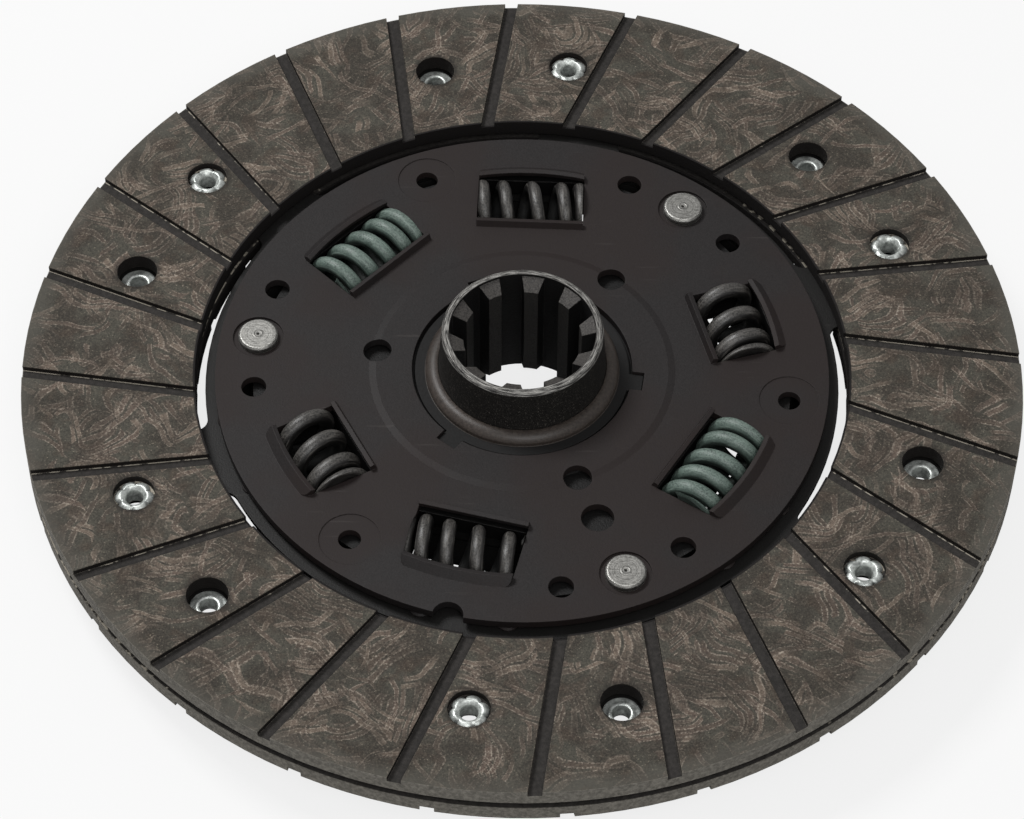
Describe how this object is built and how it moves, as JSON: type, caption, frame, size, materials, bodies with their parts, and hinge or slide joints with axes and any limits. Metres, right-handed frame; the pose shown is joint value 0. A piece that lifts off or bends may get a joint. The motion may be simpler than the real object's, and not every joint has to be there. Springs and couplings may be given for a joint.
{
  "type": "clutch disc",
  "caption": "Dry clutch disc: grooved, riveted friction ring on a waved spring sheet, with a splined hub sprung in rotation by coil springs held in windowed steel plates.",
  "frame": {"origin": "on the disc's axis, in the plane of the hub's lower end face, which the part stands on", "axes": "+Z along the disc's axis towards the flywheel side, where the longer end of the hub stands out; +X and +Y across the disc"},
  "size_m": [0.2, 0.2, 0.0289],
  "materials": {
    "hub_steel": "dark, phosphated, bright on the worn edges",
    "plate_steel": "dark oxide, matt",
    "spring_sheet": "blue-grey hardened sheet",
    "friction_lining": "woven yarn in resin, matt, brown-grey",
    "zinc_rivet": "zinc plated",
    "bush_polymer": "filled polymer, satin, dark grey-brown",
    "pin_steel": "bright, riveted over",
    "spring_paint": "grey-green paint, satin",
    "spring_black": "black oxide, oiled"
  },
  "bodies": {
    "hub": {"hub": "hub_steel"},
    "disc": {"retainer_plate": "plate_steel", "drive_plate": "plate_steel", "cushion_disc": "spring_sheet", "upper_facing": "friction_lining", "lower_facing": "friction_lining", "upper_facing_rivets": "zinc_rivet", "lower_facing_rivets": "zinc_rivet", "cushion_rivets": "plate_steel", "stop_pin_1": "pin_steel", "stop_pin_2": "pin_steel", "stop_pin_3": "pin_steel", "torsion_spring_1": "spring_black", "torsion_spring_2": "spring_paint", "torsion_spring_3": "spring_black", "torsion_spring_4": "spring_black", "torsion_spring_5": "spring_paint", "torsion_spring_6": "spring_black", "upper_friction_bush": "bush_polymer", "lower_centring_bush": "bush_polymer", "lower_friction_ring": "bush_polymer", "support_washer": "spring_sheet", "disc_spring": "spring_sheet"}
  },
  "joints": [
    {"name": "damper_twist", "type": "hinge", "parent": "hub", "child": "disc", "pos_m": [0, 0, 0.0125], "axis": [0, 0, 1], "range_deg": [-5, 5], "stiffness_Nm_per_rad": 2400, "deforming": ["torsion_spring_1", "torsion_spring_2", "torsion_spring_3", "torsion_spring_4", "torsion_spring_5", "torsion_spring_6"]}
  ]
}
